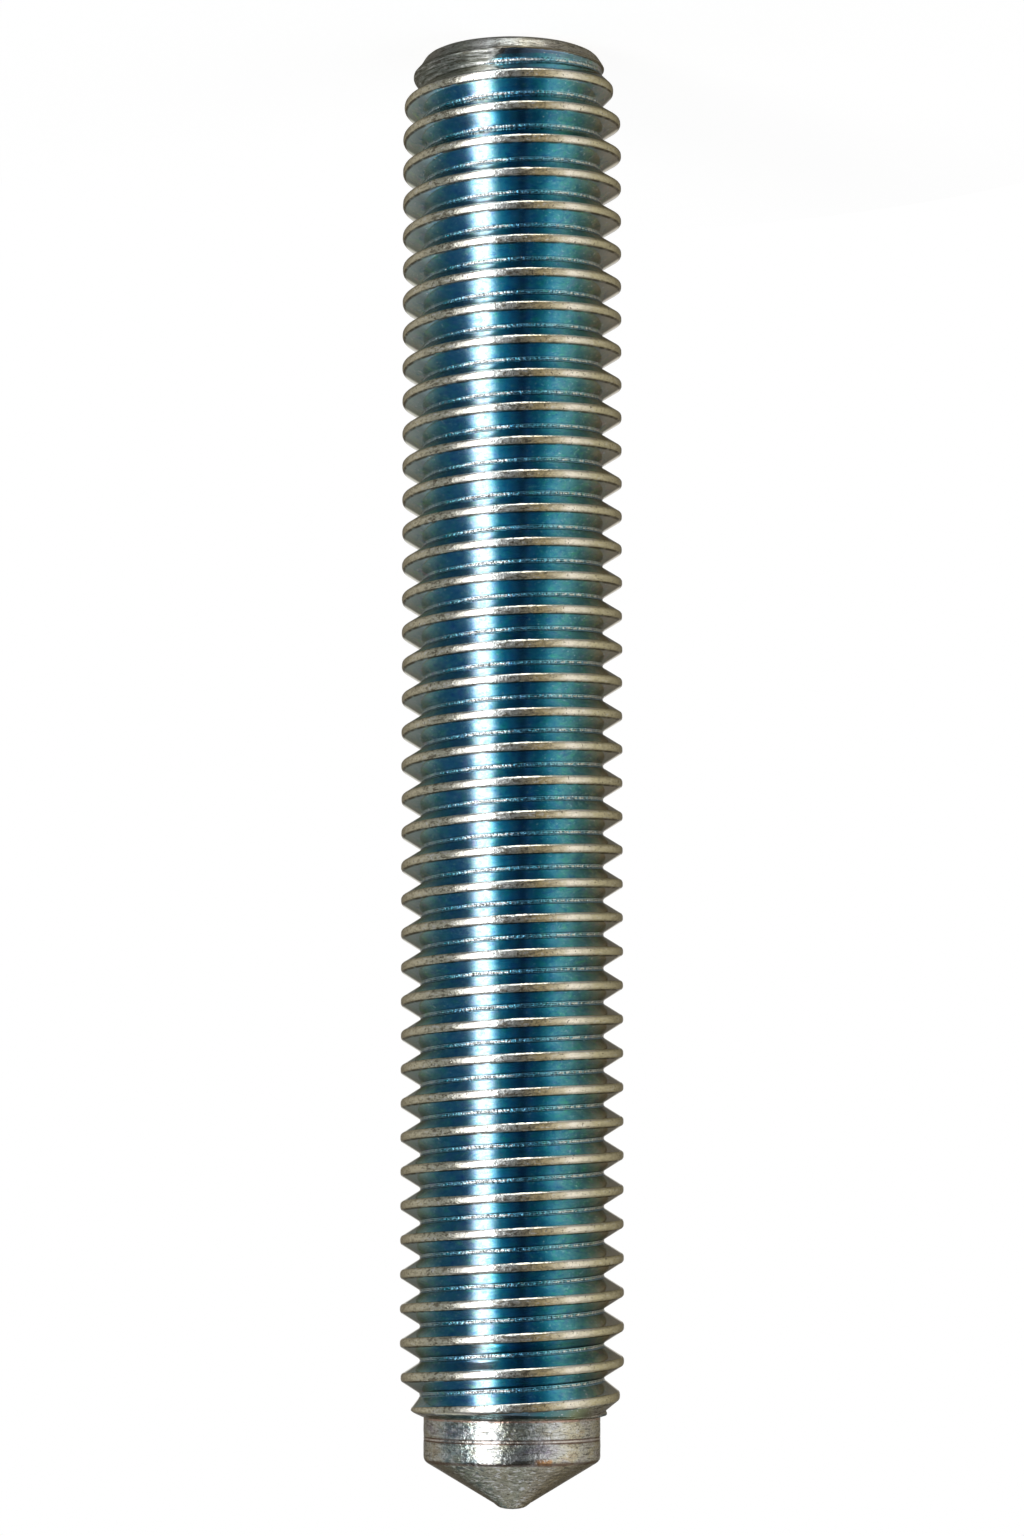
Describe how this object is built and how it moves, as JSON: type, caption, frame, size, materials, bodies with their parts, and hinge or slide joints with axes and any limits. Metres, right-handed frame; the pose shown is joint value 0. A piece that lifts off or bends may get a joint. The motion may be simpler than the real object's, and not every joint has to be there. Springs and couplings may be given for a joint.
{
  "type": "weld stud",
  "caption": "Fully threaded steel weld stud with a chamfered flat end, a short turned land and a blunt conical tip for welding to a plate; it stands on its flat end.",
  "frame": {"origin": "centre of the flat end face, on the stud's axis", "axes": "+Z runs along the stud's axis from the flat end to the weld tip; +X and +Y are across it, and the thread's first crest is at its lowest height on the +X side"},
  "size_m": [0.0098, 0.0098, 0.065],
  "materials": {
    "zinc_plated_steel": "bright zinc plating with blue passivation, deep blue in the thread grooves, straw and silver on the crests, the land and the tip"
  },
  "bodies": {
    "root": {"stud": "zinc_plated_steel"}
  },
  "joints": []
}
